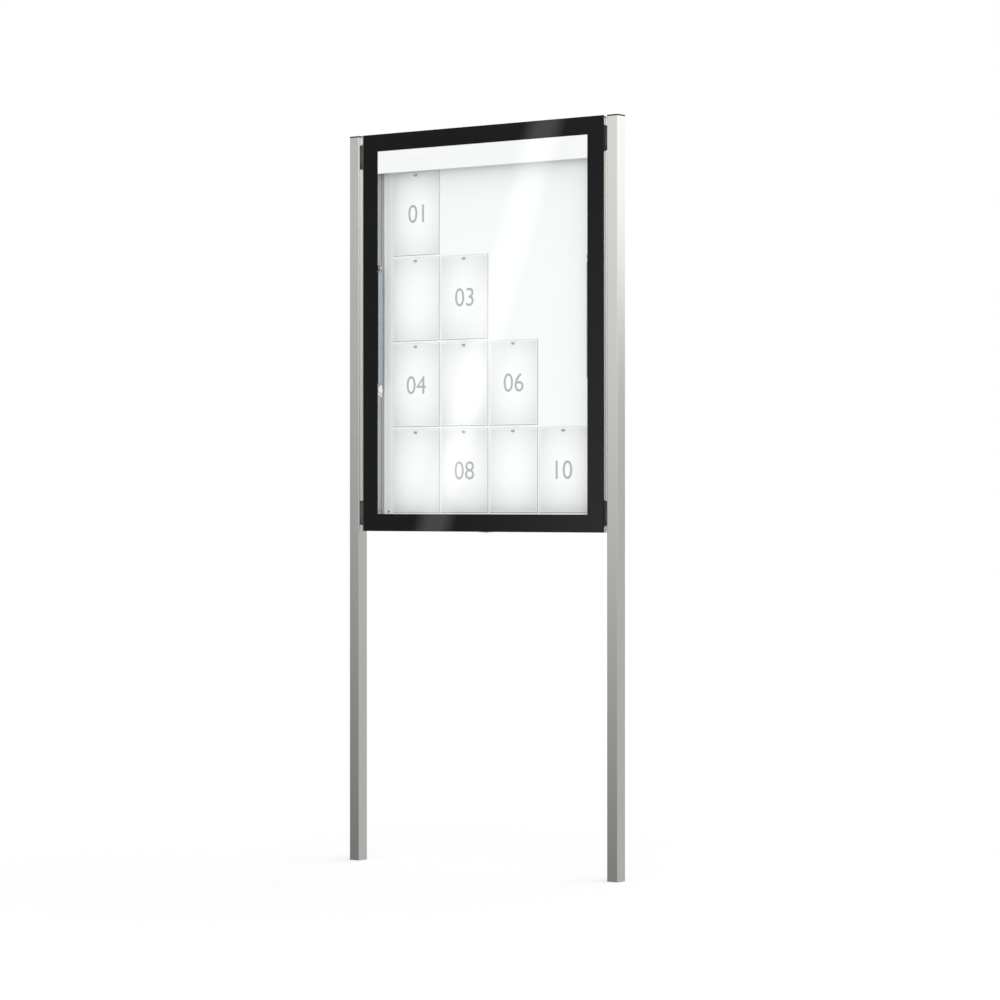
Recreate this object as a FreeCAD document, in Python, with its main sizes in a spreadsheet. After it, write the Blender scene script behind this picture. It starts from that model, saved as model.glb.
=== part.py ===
import FreeCAD, Part
import Sketcher
import math
import os

from FreeCAD import Placement, Rotation, Vector

# Lockable display case on two posts: a hollow aluminium case with a glass flap hinged along
# its top edge, two gas struts, a cam lock in the underside and ten notices behind the glass.
# X runs to the right, Y from the glass to the back, Z up from the ground.

DRIVING_SIZES = {
    # whole object
    "post_length": 2585,
    "post_gap": 15,
    # posts and their caps
    "post_width": 45,
    "post_depth": 45,
    "post_wall": 3,
    "post_corner": 3,
    "cap_head": 5,
    "cap_plug": 20,
    "cap_wall": 2,
    # case profile, measured inward from its outer edge and back from the glass face
    "frame_width": 57,
    "frame_wall": 2.5,
    "frame_front": 16,
    "frame_edge": 2,
    "flange_reach": 85,
    "flange_thickness": 2.5,
    "rib_depth": 40,
    "rib_width": 2,
    "rib_height": 2,
    # notices: they set the size of the case
    "sheet_width": 210,
    "sheet_height": 297,
    "sheet_thickness": 0.5,
    "sheet_gap_across": 6,
    "sheet_gap_up": 7,
    "sheet_side": 98,
    "sheet_rise": 66,
    "sheet_drop": 137,
    # back panel and what lies on it
    "panel_face": 56,
    "panel_thickness": 1.5,
    "panel_play": 0.5,
    "trim_width": 7,
    "trim_thickness": 2,
    "panel_screw_inset": 77,
    "panel_screw_rise": 69,
    "panel_screw_diameter": 5,
    "panel_screw_head": 8,
    "panel_screw_dome": 2.2,
    "magnet_diameter": 8,
    "magnet_length": 10,
    "magnet_drop": 13,
    # door
    "glass_thickness": 5,
    "glass_edge": 0.6,
    "print_thickness": 0.3,
    "print_side": 68,
    "print_end": 61,
    "tape_thickness": 1,
    "tape_width": 30,
    "tape_inset": 8,
    "rail_width": 56,
    "rail_depth": 7.2,
    "rail_wall": 1.6,
    "header_drop": 140,
    "header_thickness": 2,
    "door_swing": 60,
    # hinge bead and the groove that holds it
    "bead_radius": 4,
    "bead_play": 0.3,
    "lip_thickness": 2.2,
    "neck_thickness": 3,
    "hinge_gap": 0.5,
    "bead_inset": 20,
    # seal
    "seal_inset": 42,
    "seal_width": 8,
    "seal_play": 0.3,
    # spacers between case and posts, and their bolts
    "spacer_height": 80,
    "spacer_depth": 34,
    "spacer_back": 28,
    "spacer_rise": 70,
    "spacer_relief": 1.5,
    "bolt_diameter": 8,
    "bolt_head": 16,
    "bolt_head_height": 6,
    "bolt_reach": 14,
    "nut_sleeve": 11,
    "nut_bulge": 14,
    "plug_hole": 17,
    # gas struts
    "strut_inset": 68.5,
    "strut_back": 16,
    "strut_drop": 475,
    "tube_diameter": 18,
    "tube_wall": 1,
    "tube_length": 397,
    "tube_start": 15,
    "tube_end": 6,
    "gland_length": 10,
    "rod_diameter": 8,
    "rod_showing": 9,
    "piston_length": 8,
    "piston_start": 30,
    "eye_diameter": 20,
    "eye_thickness": 8,
    "neck_diameter": 10,
    "pin_diameter": 8,
    "pin_head": 12,
    "pin_head_thickness": 2,
    "socket_diameter": 16,
    "socket_thickness": 12,
    "collar_rise": 8,
    "stud_diameter": 10,
    "pin_play": 0.2,
    "bracket_thickness": 2,
    "bracket_front": 10,
    "bracket_back": 38.5,
    "bracket_nose": 20,
    "bracket_foot": 44,
    "bracket_screw_back": 31,
    "bracket_screw_side": 12,
    "small_screw": 4,
    "small_head": 7,
    "small_dome": 2,
    "ear_front": 7,
    "ear_depth": 18,
    "ear_height": 24,
    "ear_base_height": 56,
    "rivet_side": 20,
    "rivet_shank": 3,
    "rivet_head": 5.5,
    "rivet_dome": 1.2,
    # lock
    "lock_back": 38,
    "lock_barrel": 18,
    "lock_height": 22,
    "lock_flange_width": 40,
    "lock_flange_depth": 32,
    "lock_flange_thickness": 1.5,
    "lock_flange_corner": 4,
    "lock_screw_side": 14,
    "lock_screw_back": 10,
    "lock_screw_dome": 3.5,
    "lock_screw_head": 8,
    "lock_plug_diameter": 12,
    "lock_square": 7,
    "key_slot_width": 2,
    "key_slot_length": 8,
    "key_slot_depth": 11,
    "thread_depth": 11,
    "cam_screw_length": 7,
    "cam_screw_head": 2,
    "cam_length": 19,
    "cam_width": 12,
    "cam_thickness": 3,
    "cam_rise": 23,
    "keeper_side": 11,
    "keeper_width": 19,
    "keeper_thickness": 2,
    "keeper_leg": 3,
    "keeper_hang": 4,
    "keeper_play": 1.5,
    "cam_gap": 1,
    "keeper_foot": 12,
    "keeper_top": 40,
    # cleats inside the mitred corners
    "cleat_leg": 120,
    "cleat_band": 40,
    "cleat_depth": 18,
    # fits
    "fit": 0.3,
    "screw_fit": 0.2,
    "turn_fit": 0.1,
    # how far a cutting outline runs past what it cuts
    "overrun": 1,
}

COLUMNS = 4
ROWS = 4

doc = FreeCAD.newDocument("notice_board")
sheet = doc.addObject("Spreadsheet::Sheet", "sizes")
for row, (alias, value) in enumerate(DRIVING_SIZES.items(), start=1):
    sheet.set("A%d" % row, alias)
    sheet.set("B%d" % row, str(value))
    sheet.setAlias("B%d" % row, alias)
doc.recompute()


class Size:
    """A length with its number and the sheet expression that gives it."""

    def __init__(self, value, text):
        self.value = float(value)
        self.text = text

    def __add__(self, other):
        other = size(other)
        return Size(self.value + other.value, "(%s + %s)" % (self.text, other.text))

    def __sub__(self, other):
        other = size(other)
        return Size(self.value - other.value, "(%s - %s)" % (self.text, other.text))

    def __mul__(self, other):
        other = size(other)
        return Size(self.value * other.value, "(%s * %s)" % (self.text, other.text))

    def __truediv__(self, other):
        other = size(other)
        return Size(self.value / other.value, "(%s / %s)" % (self.text, other.text))

    def __neg__(self):
        return Size(-self.value, "(0 - %s)" % self.text)


def size(value):
    """A Size from a Size, an alias of the sheet or a plain number."""
    if isinstance(value, Size):
        return value
    if isinstance(value, str):
        return Size(sheet.get(value), "sizes." + value)
    return Size(value, "%g" % value)


def root(value):
    return Size(math.sqrt(value.value), "sqrt(%s)" % value.text)


def sine(degrees):
    return Size(math.sin(math.radians(degrees.value)), "sin(%s * 1 deg)" % degrees.text)


def cosine(degrees):
    return Size(math.cos(math.radians(degrees.value)), "cos(%s * 1 deg)" % degrees.text)


def bind(thing, name, value):
    """Gives a property its number and ties it to the sheet."""
    value = size(value)
    if not name.startswith("."):
        setattr(thing, name, value.value)
    thing.setExpression(name, value.text)


NODES = []


def part(thing, name):
    """Marks an object as one sub-part of the assembly."""
    thing.Label = name
    NODES.append(thing)
    return thing


def place(thing, x=0, y=0, z=0, rotation=None):
    x, y, z = size(x), size(y), size(z)
    thing.Placement = Placement(Vector(x.value, y.value, z.value), rotation or Rotation())
    for axis, value in (("x", x), ("y", y), ("z", z)):
        thing.setExpression(".Placement.Base." + axis, value.text)
    return thing


def new_body(name):
    return doc.addObject("PartDesign::Body", name)


def new_sketch(body, plane, offset=0):
    """A sketch on one of the body's own origin planes, moved along its normal by offset."""
    sketch = body.newObject("Sketcher::SketchObject", body.Name + "_sketch")
    for feature in body.Origin.OriginFeatures:
        if feature.Role == plane:
            sketch.AttachmentSupport = [(feature, "")]
    sketch.MapMode = "FlatFace"
    offset = size(offset)
    if offset.value:
        sketch.AttachmentOffset = Placement(Vector(0, 0, offset.value), Rotation())
        sketch.setExpression(".AttachmentOffset.Base.z", offset.text)
    return sketch


def fix(sketch, kind, places, value):
    """A driving constraint tied to the sheet."""
    value = size(value)
    sketch.addConstraint(Sketcher.Constraint(kind, *places, value.value))
    sketch.setExpression("Constraints[%d]" % (sketch.ConstraintCount - 1), value.text)


def pin(sketch, edge, corner, point):
    """Fixes one point of an edge at its distances from the sketch's origin."""
    fix(sketch, "DistanceX", (-1, 1, edge, corner), point[0])
    fix(sketch, "DistanceY", (-1, 1, edge, corner), point[1])


def round_edge(centre, radius, turn):
    return {"centre": (size(centre[0]), size(centre[1])), "radius": size(radius), "turn": turn}


def outline(sketch, path):
    """A closed outline: points, each with the edge that leaves it (None for a straight one)."""
    points = [(size(x), size(y)) for x, y, edge in path]
    first = sketch.GeometryCount
    ends = []
    for index, (x, y, edge) in enumerate(path):
        here = Vector(points[index][0].value, points[index][1].value, 0)
        after = points[(index + 1) % len(path)]
        there = Vector(after[0].value, after[1].value, 0)
        if edge is None:
            sketch.addGeometry(Part.LineSegment(here, there), False)
            ends.append((1, 2))
            continue
        centre = Vector(edge["centre"][0].value, edge["centre"][1].value, 0)
        angles = [math.atan2(p.y - centre.y, p.x - centre.x) for p in (here, there)]
        if edge["turn"] == "right":
            angles.reverse()
        circle = Part.Circle(centre, Vector(0, 0, 1), edge["radius"].value)
        sketch.addGeometry(Part.ArcOfCircle(circle, angles[0], angles[1]), False)
        ends.append((1, 2) if edge["turn"] == "left" else (2, 1))
    for index, (x, y, edge) in enumerate(path):
        here = first + index
        after = first + (index + 1) % len(path)
        start = ends[index][0]
        end = ends[index][1]
        follow = ends[(index + 1) % len(path)][0]
        sketch.addConstraint(Sketcher.Constraint("Coincident", here, end, after, follow))
        pin(sketch, here, start, points[index])
        if edge is None:
            continue
        other = points[(index + 1) % len(path)]
        across = abs(other[0].value - points[index][0].value)
        up = abs(other[1].value - points[index][1].value)
        if up > across:
            fix(sketch, "DistanceX", (-1, 1, here, 3), edge["centre"][0])
        else:
            fix(sketch, "DistanceY", (-1, 1, here, 3), edge["centre"][1])


def rectangle(sketch, left, bottom, right, top):
    outline(sketch, [(left, bottom, None), (right, bottom, None), (right, top, None), (left, top, None)])


def centred(sketch, width, height):
    half_width = size(width) / 2
    half_height = size(height) / 2
    rectangle(sketch, -half_width, -half_height, half_width, half_height)


def rounded(sketch, width, height, radius):
    """A rectangle about the origin with round corners."""
    across, up, bend = size(width) / 2, size(height) / 2, size(radius)
    inner_x, inner_y = across - bend, up - bend
    outline(sketch, [
        (-inner_x, -up, None),
        (inner_x, -up, round_edge((inner_x, -inner_y), bend, "left")),
        (across, -inner_y, None),
        (across, inner_y, round_edge((inner_x, inner_y), bend, "left")),
        (inner_x, up, None),
        (-inner_x, up, round_edge((-inner_x, inner_y), bend, "left")),
        (-across, inner_y, None),
        (-across, -inner_y, round_edge((-inner_x, -inner_y), bend, "left")),
    ])


def ring(sketch, x, y, diameter):
    """A circle, of its diameter, about a point."""
    x, y, diameter = size(x), size(y), size(diameter)
    circle = Part.Circle(Vector(x.value, y.value, 0), Vector(0, 0, 1), diameter.value / 2)
    edge = sketch.addGeometry(circle, False)
    fix(sketch, "Radius", (edge,), diameter / 2)
    pin(sketch, edge, 3, (x, y))


def add_feature(body, kind, sketch):
    feature = body.newObject("PartDesign::" + kind, body.Name + "_" + kind.lower())
    feature.Profile = sketch
    sketch.Visibility = False
    return feature


def pad(body, sketch, length, middle=False, backward=False):
    feature = add_feature(body, "Pad", sketch)
    bind(feature, "Length", length)
    feature.Midplane = middle
    feature.Reversed = backward
    return feature


def pocket(body, sketch, length=None, middle=True, backward=False):
    """A pocket of a given depth, or through everything on both sides of its sketch."""
    feature = add_feature(body, "Pocket", sketch)
    if length is None:
        feature.Type = "ThroughAll"
    else:
        bind(feature, "Length", length)
    feature.Midplane = middle
    feature.Reversed = backward
    return feature


def turned(body, sketch):
    """A full turn of a half section about the sketch's vertical axis."""
    feature = add_feature(body, "Revolution", sketch)
    feature.ReferenceAxis = (sketch, ["V_Axis"])
    feature.Angle = 360
    return feature


def mirror(source, name, normal, height=0):
    """The same piece on the other side of X = 0, or of a level plane."""
    feature = doc.addObject("Part::Mirroring", name)
    feature.Source = source
    feature.Normal = normal
    height = size(height)
    if height.value:
        feature.Base = Vector(0, 0, height.value)
        feature.setExpression("Base.z", height.text)
    return feature


def compound(name, pieces):
    feature = doc.addObject("Part::Compound", name)
    feature.Links = pieces
    return feature


ACROSS = Vector(1, 0, 0)
UPWARD = Vector(0, 0, 1)


def both_sides(source, name):
    return compound(name, [source, mirror(source, name + "_mirror", ACROSS)])


def four_corners(source, name):
    """A piece at all four corners of the case."""
    pair = both_sides(source, name + "_pair")
    return compound(name, [pair, mirror(pair, name + "_flip", UPWARD, case_middle)])


# Places that several pieces share, all from the sheet.
case_depth = size("panel_face") + "panel_thickness" + "flange_thickness"
front = -(case_depth / 2)
case_top = size("post_length") + "cap_head"
pitch_across = size("sheet_width") + "sheet_gap_across"
pitch_up = size("sheet_height") + "sheet_gap_up"
case_width = size("sheet_side") * 2 + pitch_across * (COLUMNS - 1) + "sheet_width"
case_height = size("sheet_rise") + "sheet_drop" + pitch_up * (ROWS - 1) + "sheet_height"
case_bottom = case_top - case_height
case_middle = case_bottom + case_height / 2
half_width = case_width / 2
half_height = case_height / 2
eye_height = case_top - "strut_drop"
collar_reach = size("socket_diameter") / 2 + "collar_rise"
strut_closed = size("tube_start") + "tube_length" + "rod_showing" + collar_reach
socket_height = eye_height - strut_closed
frame_width = size("frame_width")
frame_wall = size("frame_wall")
frame_front = size("frame_front")
panel_face = size("panel_face")
flange_front = panel_face + "panel_thickness"
print_front = size("glass_thickness")
tape_front = print_front + "print_thickness"
rail_front = tape_front + "tape_thickness"
door_back = rail_front + "rail_depth"
groove_radius = size("bead_radius") + "bead_play"
lip_radius = groove_radius + "lip_thickness"
hinge_back = door_back + "hinge_gap" + lip_radius
chamber_front = frame_front + frame_wall
chamber_back = case_depth - frame_wall
# a cut this deep, half on each side of a wall's face, opens that wall and no other
through_wall = frame_wall * 4
through_rail = size("rail_wall") * 4


def post():
    """A square hollow post with rounded edges, open at its foot, with holes for the nuts."""
    body = new_body("left_post")
    section = new_sketch(body, "XY_Plane")
    rounded(section, "post_width", "post_depth", "post_corner")
    inner_width = size("post_width") - size("post_wall") * 2
    inner_depth = size("post_depth") - size("post_wall") * 2
    centred(section, inner_width, inner_depth)
    pad(body, section, "post_length")
    holes = new_sketch(body, "YZ_Plane")
    for height in (case_top - "spacer_rise", case_bottom + "spacer_rise"):
        ring(holes, size("spacer_back") - post_centre_back, height, size("nut_sleeve") + size("screw_fit") * 2)
    pocket(body, holes, post_half, middle=False, backward=True)
    return body


def post_cap():
    """A black push-in cap: a flat head and a hollow plug that grips inside the post."""
    body = new_body("left_post_cap")
    head = new_sketch(body, "XY_Plane")
    rounded(head, "post_width", "post_depth", "post_corner")
    pad(body, head, "cap_head")
    plug_width = size("post_width") - size("post_wall") * 2 - size("fit") * 2
    plug_depth = size("post_depth") - size("post_wall") * 2 - size("fit") * 2
    plug = new_sketch(body, "XY_Plane")
    centred(plug, plug_width, plug_depth)
    centred(plug, plug_width - size("cap_wall") * 2, plug_depth - size("cap_wall") * 2)
    pad(body, plug, "cap_plug", backward=True)
    return body


post_half = size("post_width") / 2
post_centre_back = size("post_depth") / 2
post_x = -(half_width + "post_gap" + post_half)
left_post = place(part(post(), "left_post"), post_x, front + post_centre_back)
part(mirror(left_post, "right_post", ACROSS), "right_post")
left_cap = place(part(post_cap(), "left_post_cap"), post_x, front + post_centre_back, "post_length")
part(mirror(left_cap, "right_post_cap", ACROSS), "right_post_cap")


def spacer():
    """An oblong block with round ends, cut back beside the door so that the door passes it."""
    body = new_body("spacer")
    face = new_sketch(body, "YZ_Plane")
    reach = size("spacer_depth") / 2
    straight = size("spacer_height") / 2 - reach
    outline(face, [
        (-reach, -straight, round_edge((0, -straight), reach, "left")),
        (reach, -straight, None),
        (reach, straight, round_edge((0, straight), reach, "left")),
        (-reach, straight, None),
    ])
    ring(face, 0, 0, size("bolt_diameter") + size("screw_fit") * 2)
    pad(body, face, "post_gap", backward=True)
    relief = new_sketch(body, "XZ_Plane", size("spacer_back") - frame_front - "fit")
    rectangle(relief, -size("spacer_relief"), -size("spacer_height"), "fit", "spacer_height")
    pocket(body, relief, reach * 2, middle=False, backward=True)
    return body


spacer_back = front + "spacer_back"
spacer_height = case_bottom + "spacer_rise"
low_spacer = place(spacer(), -half_width, spacer_back, spacer_height)
part(four_corners(low_spacer, "post_spacers"), "post_spacers")


def bolt():
    """A bolt from inside the case profile, through the spacer, into the post."""
    body = new_body("bolt")
    half = new_sketch(body, "XY_Plane")
    shank = size("bolt_diameter") / 2
    head = size("bolt_head") / 2
    tip = -(size("post_gap") + "post_wall" + "bolt_reach")
    top = frame_wall + "bolt_head_height"
    outline(half, [
        (0, tip, None),
        (shank, tip, None),
        (shank, frame_wall, None),
        (head, frame_wall, None),
        (head, top, None),
        (0, top, None),
    ])
    turned(body, half)
    return body


def bolt_axis(thing):
    """Turns a piece that was drawn along Y so that it points along X."""
    return place(thing, -half_width, spacer_back, spacer_height, Rotation(Vector(0, 0, 1), -90))


low_bolt = bolt_axis(bolt())
part(four_corners(low_bolt, "post_bolts"), "post_bolts")


def rivet_nut():
    """A threaded sleeve set in the post's wall, swollen behind it."""
    body = new_body("rivet_nut")
    half = new_sketch(body, "XY_Plane")
    bore = size("bolt_diameter") / 2 + "turn_fit"
    sleeve = size("nut_sleeve") / 2
    bulge = size("nut_bulge") / 2
    outside = -size("post_gap")
    inside = outside - "post_wall"
    end = inside - "bolt_reach"
    outline(half, [
        (bore, end, None),
        (sleeve, end, None),
        (sleeve, inside - size("bolt_reach") / 2, None),
        (bulge, inside - size("bolt_reach") / 4, None),
        (bulge, inside, None),
        (sleeve, inside, None),
        (sleeve, outside, None),
        (bore, outside, None),
    ])
    turned(body, half)
    return body


low_nut = bolt_axis(rivet_nut())
part(four_corners(low_nut, "post_rivet_nuts"), "post_rivet_nuts")


def access_plug():
    """A flat plug that closes the hole through which a bolt is reached."""
    body = new_body("access_plug")
    half = new_sketch(body, "XY_Plane")
    radius = size("plug_hole") / 2 - "screw_fit"
    outline(half, [
        (0, frame_width - frame_wall * 2, None),
        (radius, frame_width - frame_wall * 2, None),
        (radius, frame_width, None),
        (0, frame_width, None),
    ])
    turned(body, half)
    return body


low_plug = bolt_axis(access_plug())
part(four_corners(low_plug, "access_plugs"), "access_plugs")


def chamber(sketch):
    """The hollow of a case profile."""
    rectangle(sketch, chamber_front, -(frame_width - frame_wall), chamber_back, -frame_wall)


def inner_steps():
    """The inner side of a case profile: its rib, and the flange that carries the back panel."""
    rib_front = size("rib_depth") - size("rib_width") / 2
    rib_back = size("rib_depth") + size("rib_width") / 2
    rib_top = -(frame_width + "rib_height")
    return [
        (frame_front, -frame_width, None),
        (rib_front, -frame_width, None),
        (rib_front, rib_top, None),
        (rib_back, rib_top, None),
        (rib_back, -frame_width, None),
        (flange_front, -frame_width, None),
        (flange_front, -size("flange_reach"), None),
        (case_depth, -size("flange_reach"), None),
    ]


def back_corner():
    """The rounded outer corner at the back of a case profile."""
    edge = size("frame_edge")
    return [
        (case_depth, -edge, round_edge((case_depth - edge, -edge), edge, "left")),
        (case_depth - edge, 0, None),
    ]


def plain_section(sketch):
    outline(sketch, inner_steps() + back_corner() + [(frame_front, 0, None)])
    chamber(sketch)


def hinge_section(sketch):
    """The top profile: its front corner is a groove that wraps the door's bead."""
    axis = (hinge_back, -lip_radius)
    clear = size("neck_thickness") / 2 + "bead_play"
    reach_groove = root(groove_radius * groove_radius - clear * clear)
    reach_lip = root(lip_radius * lip_radius - clear * clear)
    swing = size("door_swing")

    def open_tip(reach):
        """A lip's corner beside the neck when the door is fully open."""
        x = axis[0] - reach * cosine(swing) + clear * sine(swing)
        y = axis[1] + reach * sine(swing) + clear * cosine(swing)
        return x, y

    upper_outer = open_tip(reach_lip)
    upper_inner = open_tip(reach_groove)
    drop_front = root(lip_radius * lip_radius - (hinge_back - frame_front) * (hinge_back - frame_front))
    drop_inside = root(lip_radius * lip_radius - (hinge_back - chamber_front) * (hinge_back - chamber_front))
    run_inside = root(lip_radius * lip_radius - (lip_radius - frame_wall) * (lip_radius - frame_wall))
    outline(sketch, inner_steps() + back_corner() + [
        (axis[0], 0, round_edge(axis, lip_radius, "left")),
        (upper_outer[0], upper_outer[1], None),
        (upper_inner[0], upper_inner[1], round_edge(axis, groove_radius, "right")),
        (axis[0] - reach_groove, axis[1] - clear, None),
        (axis[0] - reach_lip, axis[1] - clear, round_edge(axis, lip_radius, "left")),
        (frame_front, axis[1] - drop_front, None),
    ])
    outline(sketch, [
        (chamber_back, -frame_wall, None),
        (axis[0] + run_inside, -frame_wall, round_edge(axis, lip_radius, "right")),
        (chamber_front, axis[1] - drop_inside, None),
        (chamber_front, -(frame_width - frame_wall), None),
        (chamber_back, -(frame_width - frame_wall), None),
    ])


def mitre(body, length, reach):
    """Cuts both ends of a profile at 45 degrees, from its outer edge inward."""
    cut = new_sketch(body, "XZ_Plane")
    half = size(length) / 2
    past = half + "overrun"
    deep = size(reach) + "overrun"
    outline(cut, [(-past, "overrun", None), (-past, -deep, None), (deep - half, -deep, None)])
    outline(cut, [(past, "overrun", None), (half - deep, -deep, None), (past, -deep, None)])
    pocket(body, cut)


def profile(name, section, length, reach):
    """A mitred bar with a given section, drawn along X with its outer edge at Z = 0."""
    body = new_body(name)
    sketch = new_sketch(body, "YZ_Plane")
    section(sketch)
    pad(body, sketch, length, middle=True)
    mitre(body, length, reach)
    return body


TURN_OVER = Rotation(Vector(0, 1, 0), 180)
TURN_LEFT = Rotation(Vector(0, 1, 0), -90)


def panel_screw_holes(body):
    """Two holes through the flange of the top or bottom profile."""
    holes = new_sketch(body, "XZ_Plane", -case_depth)
    inset = half_width - "panel_screw_inset"
    for side in (-1, 1):
        ring(holes, inset * side, -size("panel_screw_rise"),
             size("panel_screw_diameter") + size("screw_fit") * 2)
    pocket(body, holes, size("flange_thickness") * 2)


def case_top_profile():
    body = profile("case_top_profile", hinge_section, case_width, "flange_reach")
    panel_screw_holes(body)
    return body


def case_bottom_profile():
    """The bottom profile, with the lock's hole, its screws' holes and the keeper's slot."""
    body = profile("case_bottom_profile", plain_section, case_width, "flange_reach")
    panel_screw_holes(body)
    holes = new_sketch(body, "XY_Plane")
    ring(holes, 0, "lock_back", size("lock_barrel") + size("fit") * 2)
    for side in (-1, 1):
        ring(holes, size("lock_screw_side") * side, size("lock_back") + size("lock_screw_back") * side,
             size("small_screw") + size("screw_fit") * 2)
    pocket(body, holes, through_wall)
    slot = new_sketch(body, "XZ_Plane", -frame_front)
    # the profile is turned over when it is placed, so the keeper's side is drawn reversed
    right = -(size("keeper_side") - "keeper_play")
    left = -(size("keeper_side") + "keeper_width" + "keeper_play")
    rectangle(slot, left, -(keeper_tongue + "keeper_thickness" + "keeper_play"),
              right, -(keeper_leg_low - "keeper_play"))
    pocket(body, slot, through_wall)
    return body


def case_side_profile():
    """A side profile with holes for bolts and screws; its top front corner clears the door."""
    body = profile("case_left_profile", plain_section, case_height, "flange_reach")
    low = half_height - "spacer_rise"
    outer = new_sketch(body, "XY_Plane")
    inner = new_sketch(body, "XY_Plane", -frame_width)
    for side in (-1, 1):
        ring(outer, low * side, "spacer_back", size("bolt_diameter") + size("screw_fit") * 2)
        ring(inner, low * side, "spacer_back", size("plug_hole"))
        ring(inner, socket_height - case_middle + size("bracket_screw_side") * side, "bracket_screw_back",
             size("small_screw") + size("screw_fit") * 2)
    pocket(body, outer, through_wall)
    pocket(body, inner, through_wall)
    corner = new_sketch(body, "XY_Plane")
    axis = (half_height - lip_radius, hinge_back)
    rise = root(lip_radius * lip_radius - (hinge_back - frame_front) * (hinge_back - frame_front))
    outline(corner, [
        (axis[0] + rise, frame_front, None),
        (axis[0] + rise, door_back, None),
        (half_height + "fit", door_back, None),
        (half_height + "fit", hinge_back, None),
        (half_height, hinge_back, round_edge(axis, lip_radius, "right")),
    ])
    pocket(body, corner)
    return body


keeper_tongue = size("cam_rise") + "cam_thickness" + "keeper_thickness"
keeper_leg_low = size("cam_rise") - "keeper_hang"
place(part(case_top_profile(), "case_top_profile"), 0, front, case_top)
place(part(case_bottom_profile(), "case_bottom_profile"), 0, front, case_bottom, TURN_OVER)
left_profile = place(part(case_side_profile(), "case_left_profile"), -half_width, front, case_middle, TURN_LEFT)
part(mirror(left_profile, "case_right_profile", ACROSS), "case_right_profile")


def corner_cleat(name, edge, band, leg):
    """An L that joins two mitred bars from inside, drawn at the lower left corner."""
    body = new_body(name)
    face = new_sketch(body, "XZ_Plane")
    low = size(edge)
    wide = low + band
    far = low + leg
    outline(face, [
        (low, low, None),
        (far, low, None),
        (far, wide, None),
        (wide, wide, None),
        (wide, far, None),
        (low, far, None),
    ])
    return body, face


case_cleat, case_cleat_face = corner_cleat("case_cleat", frame_wall + "fit", "cleat_band", "cleat_leg")
pad(case_cleat, case_cleat_face, "cleat_depth")
place(case_cleat, -half_width, front + chamber_back - "fit", case_bottom)
part(four_corners(case_cleat, "case_corner_cleats"), "case_corner_cleats")


def rear_panel():
    """The white steel sheet that holds the magnets, screwed to the flange from the front."""
    body = new_body("rear_panel")
    face = new_sketch(body, "XZ_Plane")
    margin = (frame_width + "panel_play") * 2
    centred(face, case_width - margin, case_height - margin)
    across = half_width - "panel_screw_inset"
    up = half_height - "panel_screw_rise"
    for side in (-1, 1):
        for level in (-1, 1):
            ring(face, across * side, up * level, size("panel_screw_diameter") + size("screw_fit") * 2)
    pad(body, face, "panel_thickness")
    return body


place(part(rear_panel(), "rear_panel"), 0, front + flange_front, case_middle)


def frame_ring(name, outer_side, outer_end, inner_side, inner_end, thickness):
    """A flat ring that runs round the case at given insets from its edges."""
    body = new_body(name)
    face = new_sketch(body, "XZ_Plane")
    for side, end in ((outer_side, outer_end), (inner_side, inner_end)):
        centred(face, case_width - size(side) * 2, case_height - size(end) * 2)
    pad(body, face, thickness)
    return body


trim_outer = frame_width + "panel_play"
trim_inner = trim_outer + "trim_width"
trim = frame_ring("rear_panel_trim", trim_outer, trim_outer, trim_inner, trim_inner, "trim_thickness")
place(part(trim, "rear_panel_trim"), 0, front + panel_face, case_middle)

seal_outer = size("seal_inset")
seal_inner = seal_outer + "seal_width"
seal_thickness = frame_front - door_back - "seal_play"
seal = frame_ring("door_seal", seal_outer, seal_outer, seal_inner, seal_inner, seal_thickness)
place(part(seal, "door_seal"), 0, front + frame_front, case_middle)


def dome_screw(name, shank, head, dome, length):
    """A dome-headed screw or rivet along Y: its head at the front, its shank behind."""
    body = new_body(name)
    half = new_sketch(body, "XY_Plane")
    shank, head, dome, length = size(shank) / 2, size(head) / 2, size(dome), size(length)
    ball = (head * head + dome * dome) / (dome * 2)
    outline(half, [
        (0, -dome, round_edge((0, ball - dome), ball, "left")),
        (head, 0, None),
        (shank, 0, None),
        (shank, length, None),
        (0, length, None),
    ])
    turned(body, half)
    return body


panel_screw = dome_screw("panel_screw", "panel_screw_diameter", "panel_screw_head", "panel_screw_dome",
                         size("panel_thickness") + "flange_thickness")
place(panel_screw, -(half_width - "panel_screw_inset"), front + panel_face, case_bottom + "panel_screw_rise")
part(four_corners(panel_screw, "rear_panel_screws"), "rear_panel_screws")


# The notices climb as a staircase: one in the top row, four in the bottom row.
first_column = -(pitch_across * ((COLUMNS - 1) / 2))
magnets = []
for row in range(ROWS):
    for column in range(row + 1):
        name = "notice_row%d_col%d" % (row + 1, column + 1)
        body = new_body(name)
        face = new_sketch(body, "XZ_Plane")
        centred(face, "sheet_width", "sheet_height")
        pad(body, face, "sheet_thickness")
        x = first_column + pitch_across * column
        z = case_bottom + "sheet_rise" + size("sheet_height") / 2 + pitch_up * (ROWS - 1 - row)
        place(part(body, name), x, front + panel_face, z)
        magnet = doc.addObject("Part::Cylinder", "magnet_row%d_col%d" % (row + 1, column + 1))
        bind(magnet, "Radius", size("magnet_diameter") / 2)
        bind(magnet, "Height", "magnet_length")
        place(magnet, x, front + panel_face - "sheet_thickness",
              z + size("sheet_height") / 2 - "magnet_drop", Rotation(Vector(1, 0, 0), 90))
        magnets.append(magnet)
part(compound("magnets", magnets), "magnets")


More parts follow.
